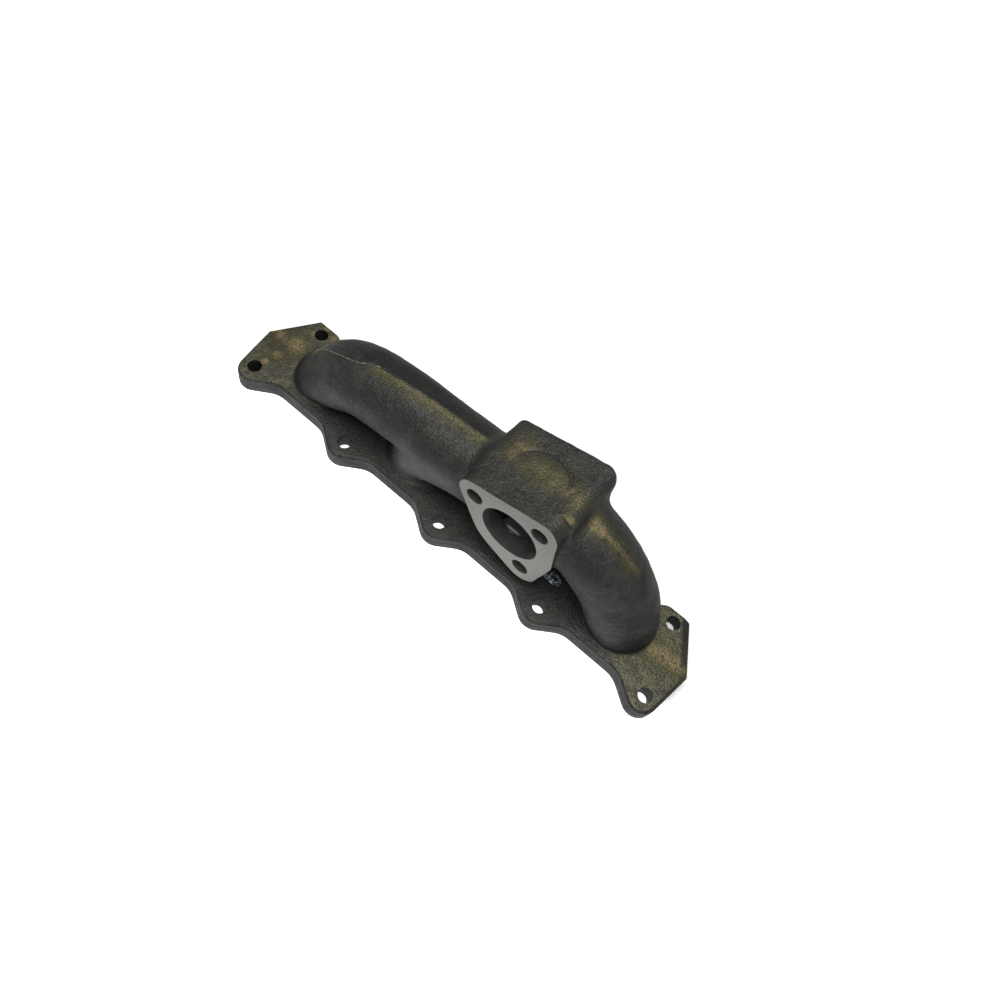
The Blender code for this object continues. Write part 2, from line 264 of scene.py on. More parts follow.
def sweep(places, radii, closed=False):
    """Field of a tube whose rings stand at the places; closed ends it flat at the last ring."""
    P, Q = np.meshgrid(X, Z, indexing='ij')
    best = np.full(P.shape, 1e9)
    size = np.zeros(P.shape)
    last = None
    for (centre, lean), radius in zip(places, radii):
        sine, cosine = math.sin(lean), math.cos(lean)
        along = (P - centre.x) * sine + (Q - centre.y) * cosine
        off = (P - centre.x) * cosine - (Q - centre.y) * sine
        if last is None:
            hit, share, here, thick = along < 0, 1.0, off, radius
        else:
            hit = (last[0] >= 0) & (along < 0)
            share = np.where(hit, last[0] / np.maximum(last[0] - along, 1e-9), 0)
            here = last[1] + (off - last[1]) * share
            thick = last[2] + (radius - last[2]) * share
        nearer = hit & (np.abs(here) < np.abs(best))
        best = np.where(nearer, here, best)
        size = np.where(nearer, thick, size)
        last = (along, off, radius)
    nearer = (last[0] >= 0) & (np.abs(last[1]) < np.abs(best))
    best = np.where(nearer, last[1], best)
    size = np.where(nearer, last[2], size)
    best = best.astype(np.float32)[:, None, :]
    size = size.astype(np.float32)[:, None, :]
    lag = LOG_LAG * np.clip((X + 78) / 24, 0, 1) * np.clip((12 - X) / 16, 0, 1)
    across = (Y[None, :] - PORT_Y - lag[:, None])[:, :, None]
    tube = np.sqrt(best ** 2 + across ** 2) - size
    if closed:
        tube = np.maximum(tube, last[0].astype(np.float32)[:, None, :])
    return tube


def rod(centre, radius, axis):
    """Field of an endless round rod along one axis."""
    grids = [X[:, None, None], Y[None, :, None], Z[None, None, :]]
    first, second = [grids[k] for k in range(3) if k != axis]
    return np.sqrt((first - centre[0]) ** 2 + (second - centre[1]) ** 2) - radius


def ripple(wavelength, height, seed, waves=14):
    """Smooth unevenness of a sand mould, the sum of a few waves in fixed random directions."""
    draw = np.random.default_rng(seed)
    total = np.zeros(GRID, np.float32)
    for _ in range(waves):
        way = draw.normal(size=3)
        way *= 2 * math.pi / (wavelength * draw.uniform(0.7, 1.4)) / np.linalg.norm(way)
        phase = draw.uniform(0, 2 * math.pi)
        wave = [np.exp(1j * way[0] * X)[:, None, None], np.exp(1j * way[1] * Y)[None, :, None],
                np.exp(1j * (way[2] * Z + phase))[None, None, :]]
        total += (wave[0] * wave[1] * wave[2]).real.astype(np.float32)
    return total * height / math.sqrt(waves / 2)


def strand(path, radius):
    """Field of a thin round strand along a path of (x, y, z) points."""
    best = np.full(GRID, 1e9, np.float32)
    for a, b in zip(path, path[1:]):
        a, b = np.array(a), np.array(b)
        low = [np.searchsorted(axis, min(p, q) - 6) for axis, p, q in zip((X, Y, Z), a, b)]
        high = [np.searchsorted(axis, max(p, q) + 6) for axis, p, q in zip((X, Y, Z), a, b)]
        near = tuple(slice(m, n) for m, n in zip(low, high))
        away = [axis[part] - start for axis, part, start in zip((X, Y, Z), near, a)]
        grid = np.stack(np.meshgrid(*away, indexing='ij'), axis=-1)
        along = np.clip(grid @ (b - a) / ((b - a) @ (b - a)), 0, 1)
        gap = np.linalg.norm(grid - along[..., None] * (b - a), axis=-1) - radius
        best[near] = np.minimum(best[near], gap)
    return best


def foot_radius(place, foot, radius):
    """Radius of a ring that grows from its foot on the flange into the tube."""
    height = max(0.0, place[0].y - FLANGE_T)
    return foot + (radius - foot) * min(1.0, height / FOOT_H)


def log_radius(place, foot, radius):
    return foot_radius(place, foot, radius) if abs(place[0].x) > SPLIT_X else radius


def thinning(i, count):
    """Runner 2 grows thinner towards its upper end, inside the log."""
    past = max(0.0, (i / (count - 1) - SECOND_THIN_FROM) / (1 - SECOND_THIN_FROM))
    return 1 - SECOND_THIN * past ** 2


log_places = stations(b_spline(LOG_LINE, 150), lag_end=True)
log_outer = [log_radius(place, FOOT_R, TUBE_R) for place in log_places]
second_places = stations(b_spline(SECOND_LINE, 40))


def log_surface(share, turn, sink):
    """Point on the log's skin: share of the way along its line, turned away from the crown."""
    centre, lean = log_places[round(share * (len(log_places) - 1))]
    radius = log_outer[round(share * (len(log_places) - 1))] - sink
    up = Vector((-math.cos(lean), 0, math.sin(lean)))
    spot = Vector((centre.x, PORT_Y, centre.y)) \
        + (up * math.cos(turn) + Vector((0, 1, 0)) * math.sin(turn)) * radius
    return tuple(spot)


def tubes_field():
    second_outer = [foot_radius(place, SECOND_FOOT_R, SECOND_R) * thinning(i, len(second_places))
                    for i, place in enumerate(second_places)]
    tubes = soft_min(sweep(log_places, log_outer), sweep(second_places, second_outer, True), 12.0)
    third = np.maximum(rod((THIRD_X, PORT_Y), THIRD_R, 2), (Z - THIRD_TOP)[None, None, :])
    return soft_min(tubes, third, 7.0)


def hood_field():
    side = outline_distance(rounded([(HOOD_LEFT, HOOD_BOTTOM, 2.0),
                                     (HOOD_RIGHT + 1.5, HOOD_BOTTOM + 10, 2.0),
                                     (HOOD_RIGHT, roof(HOOD_RIGHT), 9.0),
                                     (HOOD_LEFT, roof(HOOD_LEFT), 7.0)]), X, Z)
    plan = outline_distance(rounded([(-20, -60, 1.0), (120, -60, 1.0),
                                     (HOOD_RIGHT + 3, HOOD_REAR, 16.0),
                                     (HOOD_LEFT - 0.5, HOOD_REAR, 5.0)]), X, Y)
    hood = soft_max(side[:, None, :], plan[:, :, None], HOOD_EDGE)
    return np.maximum(hood, (OUT_BACK_Y - 1.0 - Y)[None, :, None])


def plate_field():
    plate = outline_distance(rounded([(OUT_X + x, OUT_Z + z, r) for x, z, r in OUT_SHAPE]), X, Z)
    return soft_max(plate[:, None, :], (Y - OUT_BACK_Y)[None, :, None], 1.5)


def pad_groove():
    """Shallow groove on the roof along the pad's rear half."""
    path = []
    for step in range(5, 171, 5):
        turn = math.radians(step)
        spot = Vector(((PAD_HALF[0] + GROOVE_OUT) * math.cos(turn) * math.cos(math.atan(HOOD_SLOPE)),
                       (PAD_HALF[1] + GROOVE_OUT) * math.sin(turn)))
        spot = Matrix.Rotation(PAD_TURN, 2) @ spot + Vector(PAD_AT)
        path.append((spot.x, spot.y, roof(spot.x) + 0.2))
    return strand(path, GROOVE_R)


def parting_seam():
    """Low seam along the log's crown, going on from the flash on runner 1."""
    path = [log_surface(share / 60, math.radians(min(SEAM_TURN, share - 14.5)), 0.75)
            for share in range(14, 27)]
    return strand(path, SEAM_R)


def outside():
    """Field of the casting without its passages."""
    solid = soft_min(tubes_field(), hood_field(), 6.5)
    # the fillet round the plate dies away at the roof, which runs out flush over it
    below_roof = (roof(X)[:, None] - Z[None, :])[:, None, :]
    solid = soft_min(solid, plate_field(), np.clip((below_roof - 1.0) / 8.0, 0.02, 1.0) * 4.0)
    solid = soft_max(solid, -pad_groove(), 0.5)
    solid = soft_min(solid, parting_seam(), 2.4)
    solid = solid + ripple(26.0, 0.10, 3) + ripple(9.0, 0.05, 4) + ripple(4.0, 0.03, 5)
    # cast fillet along the flange, wider round runner 2
    fillet = 2.6 + 3.0 * np.clip(1 - np.abs(X + CYL_PITCH / 2 - 4) / 44, 0, 1) ** 0.5
    return soft_min(solid, (Z - (FLANGE_T - 0.04))[None, None, :], fillet[:, None, None])


def passages():
    """Field of the gas passages and the outlet's bolt holes."""
    log_inner = [log_radius(place, PORT_R, BORE_R) for place in log_places]
    second_inner = [foot_radius(place, PORT_R, SECOND_BORE_R) for place in second_places]
    gas = soft_min(sweep(log_places, log_inner), sweep(second_places, second_inner, True), 3.0)
    third = np.maximum(rod((THIRD_X, PORT_Y), PORT_R, 2), (Z - THIRD_TOP - 7.0)[None, None, :])
    gas = soft_min(gas, third, 3.0)
    bore = np.maximum(rod((OUT_X, OUT_Z), OUT_BORE_R, 1), (Y - PORT_Y)[None, :, None])
    gas = soft_min(gas, bore, 2.0)
    for x, z in OUT_BOLTS:
        hole = np.maximum(rod((OUT_X + x, OUT_Z + z), OUT_BOLT_R, 1),
                          (Y - OUT_Y - HOLE_DEPTH)[None, :, None])
        gas = np.minimum(gas, hole)
    return gas


hollow = passages()
body = np.maximum(outside(), -hollow)


# -------------------- skin from the field
def sample(field, points):
    """Trilinear value of a grid at the points."""
    at = (points - np.array([X[0], Y[0], Z[0]])) / STEP
    low = np.clip(np.floor(at).astype(int), 0, np.array(field.shape) - 2)
    part = (at - low).astype(np.float32)
    total = np.zeros(len(points), np.float32)
    for i in (0, 1):
        for j in (0, 1):
            for k in (0, 1):
                share = (np.where(i, part[:, 0], 1 - part[:, 0]) * np.where(j, part[:, 1], 1 - part[:, 1])
                         * np.where(k, part[:, 2], 1 - part[:, 2]))
                total += share * field[low[:, 0] + i, low[:, 1] + j, low[:, 2] + k]
    return total


slopes = np.gradient(body, STEP)


def slope_at(points):
    lean = np.stack([sample(part, points) for part in slopes], axis=1)
    return lean / np.maximum(np.linalg.norm(lean, axis=1, keepdims=True), 1e-6)


def surface_net(field):
    """Points and quads of the field's zero surface, one point for each cell it passes."""
    inside = field < 0
    count = np.zeros(tuple(n - 1 for n in field.shape), np.int8)
    corners = [(i, j, k) for i in (0, 1) for j in (0, 1) for k in (0, 1)]
    for i, j, k in corners:
        count += inside[i:field.shape[0] - 1 + i, j:field.shape[1] - 1 + j, k:field.shape[2] - 1 + k]
    cells = np.argwhere((count > 0) & (count < 8))
    index = np.full(count.shape, -1, np.int32)
    index[tuple(cells.T)] = np.arange(len(cells))
    value = {c: field[cells[:, 0] + c[0], cells[:, 1] + c[1], cells[:, 2] + c[2]] for c in corners}
    total = np.zeros((len(cells), 3))
    hits = np.zeros(len(cells))
    for a in corners:
        for axis in range(3):
            if a[axis]:
                continue
            b = tuple(1 if n == axis else a[n] for n in range(3))
            va, vb = value[a], value[b]
            cut = (va < 0) != (vb < 0)
            share = np.where(cut, va / np.where(cut, va - vb, 1), 0)
            spot = np.tile(np.array(a, float), (len(cells), 1))
            spot[:, axis] += share
            total += spot * cut[:, None]
            hits += cut
    points = (cells + total / hits[:, None]) * STEP + np.array([X[0], Y[0], Z[0]])
    quads = []
    for axis in range(3):
        one, two = [n for n in range(3) if n != axis]
        low = [slice(None)] * 3
        high = [slice(None)] * 3
        low[axis], high[axis] = slice(0, -1), slice(1, None)
        change = inside[tuple(low)] != inside[tuple(high)]
        edges = np.argwhere(change)
        keep = (edges[:, one] > 0) & (edges[:, two] > 0) & (edges[:, one] < field.shape[one] - 1) \
            & (edges[:, two] < field.shape[two] - 1)
        edges = edges[keep]
        ring = []
        for back_one, back_two in ((1, 1), (0, 1), (0, 0), (1, 0)):
            cell = edges.copy()
            cell[:, one] -= back_one
            cell[:, two] -= back_two
            ring.append(index[tuple(cell.T)])
        quad = np.stack(ring, axis=1)
        outward = inside[tuple(edges.T)]
        if axis == 1:
            outward = ~outward
        quad[~outward] = quad[~outward][:, ::-1]
        quads.append(quad)
    return points, np.concatenate(quads)


def settle(points, quads, rounds=3):
    """Even the points out along the surface and pull them onto its true place."""
    pairs = np.concatenate([quads[:, [0, 1]], quads[:, [1, 2]], quads[:, [2, 3]], quads[:, [3, 0]]])
    pairs = np.concatenate([pairs, pairs[:, ::-1]])
    degree = np.bincount(pairs[:, 0], minlength=len(points))
    for _ in range(rounds):
        mean = np.stack([np.bincount(pairs[:, 0], points[pairs[:, 1], n], len(points))
                         for n in range(3)], axis=1) / degree[:, None]
        normal = slope_at(points)
        move = (mean - points) * 0.5
        points = points + move - normal * np.sum(move * normal, axis=1, keepdims=True)
        for _ in range(2):
            gap = np.clip(sample(body, points), -0.5, 0.5)
            points = points - slope_at(points) * gap[:, None]
    return points


skin_points, skin_quads = surface_net(body)
skin_points = settle(skin_points, skin_quads)


# -------------------- materials
class Graph:
    """Short hand for building one material's node tree."""

    def __init__(self, name):
        self.mat = bpy.data.materials.new(name)
        self.mat.use_nodes = True
        self.tree = self.mat.node_tree
        self.shader = self.tree.nodes["Principled BSDF"]
        self.place = self.tree.nodes.new("ShaderNodeTexCoord").outputs["Object"]
        self.facing = self.tree.nodes.new("ShaderNodeNewGeometry").outputs["Normal"]

    def put(self, socket, value):
        if isinstance(value, bpy.types.NodeSocket):
            self.tree.links.new(value, socket)
        else:
            socket.default_value = value

    def set(self, name, value):
        """Give one of the shader's inputs a value or link it."""
        self.put(self.shader.inputs[name], value)

    def math(self, operation, *values):
        node = self.tree.nodes.new("ShaderNodeMath")
        node.operation = operation
        for socket, value in zip(node.inputs, values):
            self.put(socket, value)
        return node.outputs[0]

    def times(self, one, two):
        return self.math('MULTIPLY', one, two)

    def noise(self, size, detail=2.0, rough=0.5, place=None):
        """Noise from 0 to 1 whose blobs are about size millimetres across."""
        node = self.tree.nodes.new("ShaderNodeTexNoise")
        self.put(node.inputs["Vector"], place or self.place)
        node.inputs["Scale"].default_value = 1 / (size * MM)
        node.inputs["Detail"].default_value = detail
        node.inputs["Roughness"].default_value = rough
        return node.outputs["Fac"]

    def pits(self, size):
        node = self.tree.nodes.new("ShaderNodeTexVoronoi")
        self.put(node.inputs["Vector"], self.place)
        node.inputs["Scale"].default_value = 1 / (size * MM)
        return node.outputs["Distance"]

    def step(self, value, low, high, to_low=0.0, to_high=1.0):
        """Smooth step of the value from to_low at low to to_high at high."""
        node = self.tree.nodes.new("ShaderNodeMapRange")
        node.interpolation_type = 'SMOOTHSTEP'
        for socket, item in zip(node.inputs, (value, low, high, to_low, to_high)):
            self.put(socket, item)
        return node.outputs[0]

    def span(self, value, low, high, to_low=0.0, to_high=1.0):
        """Smooth step whose limits are given in millimetres."""
        return self.step(value, low * MM, high * MM, to_low, to_high)

    def mix(self, share, one, two):
        node = self.tree.nodes.new("ShaderNodeMix")
        node.data_type = 'RGBA'
        self.put(node.inputs[0], share)
        self.put(node.inputs[6], (*one, 1) if isinstance(one, tuple) else one)
        self.put(node.inputs[7], (*two, 1) if isinstance(two, tuple) else two)
        return node.outputs[2]

    def near(self, spot, reach, warp):
        """1 at a spot given in millimetres, falling to 0 at about reach."""
        node = self.tree.nodes.new("ShaderNodeVectorMath")
        node.operation = 'DISTANCE'
        self.put(node.inputs[0], self.place)
        node.inputs[1].default_value = [n * MM for n in spot]
        away = self.math('MULTIPLY_ADD', warp, reach * MM, node.outputs["Value"])
        return self.span(away, reach * 1.5, reach * 0.3)

    def most(self, values):
        total = values[0]
        for value in values[1:]:
            total = self.math('MAXIMUM', total, value)
        return total

    def bump(self, height, distance):
        node = self.tree.nodes.new("ShaderNodeBump")
        node.inputs["Distance"].default_value = distance * MM
        self.put(node.inputs["Height"], height)
        self.set("Normal", node.outputs[0])

    def axis(self, vector, name):
        node = self.tree.nodes.new("ShaderNodeSeparateXYZ")
        self.put(node.inputs[0], vector)
        return node.outputs[name]


# places where ochre rust has bloomed: x, y, z, reach and strength
RUST = [(-184, 6, 13, 4.5, 0.8), (-177, 4, 13, 3.5, 0.5), (-169, 7, 13, 6.5, 1.0),
        (-172, -8.5, 13, 3.5, 0.8), (-174, -18.5, 13, 2.5, 1.0), (-168, 23, 13, 2.2, 1.0),
        (-164, 33, 13, 2.4, 1.0), (-152, 31, 13, 5, 0.9), (-134.6, 11, 47.5, 4.5, 0.9),
        (-136, 5, 47, 4, 0.9), (-140, 0, 41, 3.5, 0.8), (20, 7, 92, 4.0, 0.5), (21, 14, 92, 4.5, 0.5),
        (34, 6, 96, 4, 0.2), (42, 6.5, 99, 5, 0.28), (52, 6, 102, 5, 0.25), (62, 3, 105, 4.0, 0.45),
        (70, 1, 107, 4, 0.3), (76, -12, 107, 2.8, 1.0), (75, -16, 107, 2.2, 0.9),
        (86, 3, 95, 4, 0.9), (92, 3.5, 93, 3.5, 0.8),
        (163, 2, 14, 5, 0.8), (171, 3.5, 13, 5.5, 0.9), (179, 4, 13, 5, 1.0), (186, 3.8, 13, 3.5, 1.0)]
# rust that follows the parting line: from x, to x, its y at both, half width, strength
STREAKS = [(-92, 2, 1.8, 6.6, 1.4, 0.27), (82, 124, 2.2, 5.4, 1.5, 0.75)]


def cast_iron():
    """Sand-cast skin: neutral dark grey, dusted olive and rusted ochre round the parting line, the olive
    mixed with painted warm light; also painted shade, fill light and glints.
    """
    g = Graph("cast_iron")
    grain = g.noise(1.6, 2.0, 0.6)
    fine = g.noise(0.75, 1.0)
    coarse = g.noise(4.5, 2.0)
    patch = g.noise(14.0, 3.0, 0.6)
    tilt = g.axis(g.facing, "Z")
    x, y, z = (g.axis(g.place, name) for name in "XYZ")
    facing_up = g.step(tilt, 0.35, 0.9)

    tone = g.step(g.math('MULTIPLY_ADD', grain, 0.6, patch), 0.65, 1.0)
    skin = g.mix(tone, (0.032, 0.032, 0.032), (0.048, 0.048, 0.045))
    warp = g.math('SUBTRACT', g.math('MULTIPLY_ADD', grain, 0.4, g.noise(6.0, 3.0, 0.65)), 0.7)
    # the flange's face is dusted grey; towards its ends it turns olive and lighter, dusting together with
    # painted warm light where the light falls on the ends
    ends = g.span(g.math('ABSOLUTE', x), 132, 156)
    low = g.times(g.span(z, 20, 14), g.step(tilt, 0.92, 0.985))
    low = g.times(low, g.step(coarse, 0.35, 0.6, 0.6, 1.0))
    low = g.times(low, g.step(g.noise(9.0, 3.0, 0.6), 0.40, 0.56, 0.45, 1.0))
    skin = g.mix(low, skin, g.mix(ends, (0.045, 0.045, 0.044), (0.084, 0.081, 0.055)))
    # painted fill light: runner 2 and the log above it are made pale grey, as if lit by light bounced up
    # from the floor
    soft = g.times(warp, 0.2)
    painted_fill = g.most([g.near((-34, -16, 29), 22, soft),
                    g.times(g.near((-8, -20, 44), 16, soft), 0.7)])
    painted_fill = g.times(painted_fill, g.span(z, 13, 15))
    skin = g.mix(painted_fill, skin, (0.082, 0.086, 0.080))
    # painted shade: the side of the log past the parting line, turned away from the light, is made darker
    line = g.span(x, -100, -20, 1.5 * MM, 8 * MM)
    line = g.math('ADD', line, g.span(x, -92, -115, 0.0, 6 * MM))
    behind = g.math('MULTIPLY_ADD', warp, 3 * MM, g.math('SUBTRACT', y, line))
    behind = g.times(g.span(behind, 0, 1.4), g.span(z, 32, 46))
    behind = g.times(behind, g.span(x, 4, -2))
    skin = g.mix(g.times(behind, 0.55), skin, (0.020, 0.020, 0.021))
    ahead = g.math('SUBTRACT', 1.0, behind)

    blooms = []
    halos = []
    for *spot, reach, strength in RUST:
        blooms.append(g.times(g.near(spot, reach, warp), strength))
        halos.append(g.near(spot, reach * 2.4, warp))
    for start, stop, y_start, y_stop, half, strength in STREAKS:
        share = g.span(x, start, stop, y_start * MM, y_stop * MM)
        off = g.math('ABSOLUTE', g.math('SUBTRACT', y, share))
        off = g.math('MULTIPLY_ADD', warp, 3 * MM, off)
        run = g.times(g.span(x, start - 4, start + 6), g.span(x, stop + 4, stop - 6))
        run = g.times(run, g.span(z, 35, 50))
        band = g.times(g.span(off, half * 1.4, half * 0.7), run)
        fade = g.span(x, stop, stop - 35, strength * 0.4, strength)
        blooms.append(g.times(band, fade))
        halos.append(g.times(g.span(off, half * 6.0, half * 1.5), run))
    # olive round the rust, only on up-facing surfaces in front of the parting line: dusting together with
    # painted warm light on the lit tops
    dust_and_lit_tint = g.times(g.most(halos), g.step(patch, 0.32, 0.62, 0.4, 1.0))
    dust_and_lit_tint = g.times(dust_and_lit_tint, ahead)
    skin = g.mix(g.times(dust_and_lit_tint, facing_up), skin, (0.062, 0.061, 0.034))
    ragged = g.math('MULTIPLY_ADD', grain, 0.9, g.times(g.noise(3.2, 3.0, 0.7), 0.9))
    rust = g.times(g.most(blooms), g.step(ragged, 0.64, 1.0))
    rust = g.times(rust, g.step(tilt, 0.2, 0.8, 0.5, 1.0))
    skin = g.mix(rust, skin, (0.190, 0.148, 0.080))
    # painted glints: pale specks of the grain where surfaces face up and forward into the light; dark
    # grains of sand
    painted_glints = g.times(g.step(fine, 0.56, 0.76, 0.0, 0.6),
                     g.times(ahead, g.step(tilt, 0.5, 0.95, 0.15, 1.0)))
    painted_glints = g.times(painted_glints, g.span(z, 13.5, 30, 0.25, 1.0))
    painted_glints = g.times(painted_glints, g.span(x, 82, 96, 1.0, 0.3))
    skin = g.mix(painted_glints, skin, (0.13, 0.13, 0.115))
    skin = g.mix(g.step(fine, 0.44, 0.28, 0.0, 0.6), skin, (0.014, 0.014, 0.014))
    g.set("Base Color", skin)

    gloss = g.math('MULTIPLY_ADD', grain, 0.3, 0.24)
    g.set("Roughness", g.math('MULTIPLY_ADD', rust, 0.2, gloss))
    g.set("Metallic", 0.5)
    g.set("Specular IOR Level", 0.0)
    g.set("Specular Tint", (0.7, 0.7, 0.7, 1))
    height = g.math('MULTIPLY_ADD', fine, 0.4, g.times(grain, 0.9))
    height = g.math('MULTIPLY_ADD', coarse, 0.6, height)
    height = g.math('SUBTRACT', height, g.times(g.step(g.pits(2.6), 0.3, 0.0), 0.25))
    g.bump(height, 0.7)
    return g.mat


def flash_iron():
    """Thin fin of flash, pale in patches as a painted highlight of its ridge."""
    g = Graph("parting_flash")
    tone = g.mix(g.step(g.noise(3.0, 2.0), 0.4, 0.65), (0.060, 0.056, 0.050), (0.210, 0.185, 0.160))
    g.set("Base Color", tone)
    g.set("Metallic", 0.5)
    g.set("Roughness", g.math('MULTIPLY_ADD', g.noise(0.8), 0.2, 0.4))
    g.bump(g.noise(0.8, 2.0), 0.1)
    return g.mat


def bore_iron():
    """Inside of the gas passages, under a dull grey scale."""
    g = Graph("bore_scale")
    tone = g.mix(g.step(g.noise(7.0, 3.0), 0.35, 0.65), (0.026, 0.026, 0.026), (0.040, 0.039, 0.038))
    g.set("Base Color", tone)
    g.set("Roughness", g.math('MULTIPLY_ADD', g.noise(2.0), 0.2, 0.65))
    g.bump(g.noise(1.5, 3.0), 0.4)
    return g.mat


def machined_iron():
    """Machined faces: pale grey with faint stains and tool marks."""
    g = Graph("machined_face")
    stain = g.noise(9.0, 3.0, 0.6)
    grain = g.noise(0.8, 2.0, 0.6)
    drawn = g.tree.nodes.new("ShaderNodeMapping")
    drawn.inputs["Scale"].default_value = (0.12, 1.0, 1.6)
    drawn.inputs["Rotation"].default_value = (0, 0.5, 0)
    g.put(drawn.inputs["Vector"], g.place)
    marks = g.noise(0.5, 1.0, place=drawn.outputs[0])
    tone = g.mix(g.step(stain, 0.35, 0.7), (0.053, 0.051, 0.042), (0.072, 0.070, 0.061))
    tone = g.mix(g.times(g.step(g.noise(2.2, 3.0), 0.58, 0.75), 0.35), tone, (0.050, 0.044, 0.036))
    g.set("Base Color", tone)
    g.set("Metallic", 0.8)
    g.set("Roughness", g.math('MULTIPLY_ADD', stain, 0.14, 0.34))
    g.bump(g.math('ADD', g.times(grain, 0.4), g.times(marks, 0.8)), 0.025)
    return g.mat


def broken_iron():
    """Where the gate was broken off: dark iron with pale bluish specks, fresh fracture together with
    painted glints.
    """
    g = Graph("broken_gate")
    tone = g.mix(g.step(g.noise(2.2, 2.0), 0.44, 0.58), (0.045, 0.055, 0.062), (0.42, 0.50, 0.54))
    g.set("Base Color", tone)
    g.set("Metallic", 0.5)
    g.set("Roughness", g.math('MULTIPLY_ADD', g.noise(0.7), 0.2, 0.3))
    g.bump(g.noise(0.6, 3.0), 0.12)
    return g.mat


def pale_floor():
    """White floor with painted light: it glows in front and far out, and is painted dark as shadow under
    some of the holes.
    """
    g = Graph("floor")
    x, y = g.axis(g.place, "X"), g.axis(g.place, "Y")

    def off(spot):
        node = g.tree.nodes.new("ShaderNodeVectorMath")
        node.operation = 'DISTANCE'
        g.put(node.inputs[0], g.place)
        node.inputs[1].default_value = (spot[0] * MM, spot[1] * MM, 0)
        return node.outputs["Value"]

    # painted shadow: dark floor under two of the stud holes and under the third port
    dark_holes = ((-2 * CYL_PITCH, -STUD_Y), (-END_STUD_X, STUD_Y))
    hole_shadow = g.most([g.span(off(spot), 5.6, 5.2) for spot in dark_holes])
    port = g.span(off((CYL_PITCH / 2, PORT_Y)), 18.4, 18.0)
    tone = g.mix(g.noise(60.0, 2.0), (0.69, 0.70, 0.71), (0.71, 0.72, 0.73))
    g.set("Base Color", g.mix(g.most([hole_shadow, port]), tone, (0.03, 0.03, 0.033)))
    g.set("Roughness", 0.9)
    g.set("Specular IOR Level", 0.0)
    away = g.math('SQRT', g.math('MULTIPLY_ADD', x, x, g.times(y, y)))
    glow = g.times(g.span(y, *GLOW_NEAR), g.span(y, *GLOW_FAR))
    glow = g.times(glow, g.span(g.math('ABSOLUTE', x), *GLOW_SIDE))
    glow = g.math('MULTIPLY_ADD', glow, 1.7, 0.10)
    glow = g.math('MULTIPLY_ADD', g.span(away, *GLOW_OUT), 0.5, glow)
    # painted light and shadow under the third port: the floor is dark but for a painted sliver of light,
    # and glows where it is hidden to light the passage
    sliver = g.times(g.span(y, 11.6, 9.8), g.span(y, 8.7, 9.3))
    sliver = g.times(sliver, g.times(g.span(x, 31, 36), g.span(x, 46, 41)))
    dim = g.math('MULTIPLY_ADD', sliver, 0.12, 0.012)
    dim = g.math('ADD', dim, g.span(y, 8.2, 6.5, 0.0, 0.42))
    glow = g.math('ADD', g.times(glow, g.math('SUBTRACT', 1.0, port)), g.times(dim, port))
    glow = g.times(glow, g.math('SUBTRACT', 1.0, hole_shadow))
    g.set("Emission Color", (0.94, 0.98, 1.0, 1))
    g.set("Emission Strength", glow)
    return g.mat


iron = cast_iron()
scale = bore_iron()
machined = machined_iron()
broken = broken_iron()
fin = flash_iron()


# -------------------- pieces
def finish_mesh(name, mesh, mats):
    """Object for a finished mesh, with its materials, carried by the part's one body."""
    obj = bpy.data.objects.new(name, mesh)
    link(obj)
    for mat in mats:
        mesh.materials.append(mat)
    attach(obj, "root")
    return obj


def ring_mesh(name, rings, looped=False, smooth=None):
    """Closed mesh through rings of points, capped at both ends or looped round on itself."""
    bm = bmesh.new()
    loops = [[bm.verts.new([n * MM for n in point]) for point in ring] for ring in rings]
    if not looped:
        bm.faces.new(loops[0])
        bm.faces.new(loops[-1])
    sides = len(loops[0])
    for a, b in zip(loops, loops[1:] + (loops[:1] if looped else [])):
        for k in range(sides):
            bm.faces.new((a[k], a[(k + 1) % sides], b[(k + 1) % sides], b[k]))
    bmesh.ops.recalc_face_normals(bm, faces=bm.faces)
    for face in bm.faces:
        face.smooth = smooth is not None and smooth(face)
    mesh = bpy.data.meshes.new(name)
    bm.to_mesh(mesh)
    bm.free()
    return mesh


def circle(radius, sides):
    """Points (across, up) evenly round a circle."""
    turns = [2 * math.pi * k / sides for k in range(sides)]
    return [(radius * math.cos(turn), radius * math.sin(turn)) for turn in turns]


def cut(bm, axis, sign, at, caps=None, mark=1):
    """Keep the side of a flat cut that faces away from sign, and close it when caps is given."""
    normal = Vector([sign if n == axis else 0 for n in range(3)])
    place = normal * (sign * at * MM)
    bmesh.ops.bisect_plane(bm, geom=bm.verts[:] + bm.edges[:] + bm.faces[:], dist=1e-8,
                           plane_co=place, plane_no=normal, clear_outer=True)
    if caps is not None:
        close(bm, axis, sign, at, caps, mark)


def close(bm, axis, sign, at, caps, mark=1):
    """Fill the open rims that lie in a flat cut, and mark the new faces."""
    normal = Vector([sign if n == axis else 0 for n in range(3)])
    rim = [e for e in bm.edges if e.is_boundary and
           all(abs(v.co[axis] - at * MM) < 1e-7 for v in e.verts)]
    if not rim:
        return
    new = bmesh.ops.triangle_fill(bm, use_beauty=False, use_dissolve=False, edges=rim,
                                  normal=normal)["geom"]
    for face in new:
        if isinstance(face, bmesh.types.BMFace):
            face.normal_update()
            if face.normal.dot(normal) < 0:
                face.normal_flip()
            face[caps] = mark


def read(items, name, width, kind=float):
    """One property of a mesh's items as an array of rows."""
    values = np.empty(len(items) * width, kind)
    items.foreach_get(name, values)
    return values.reshape(-1, width) if width > 1 else values


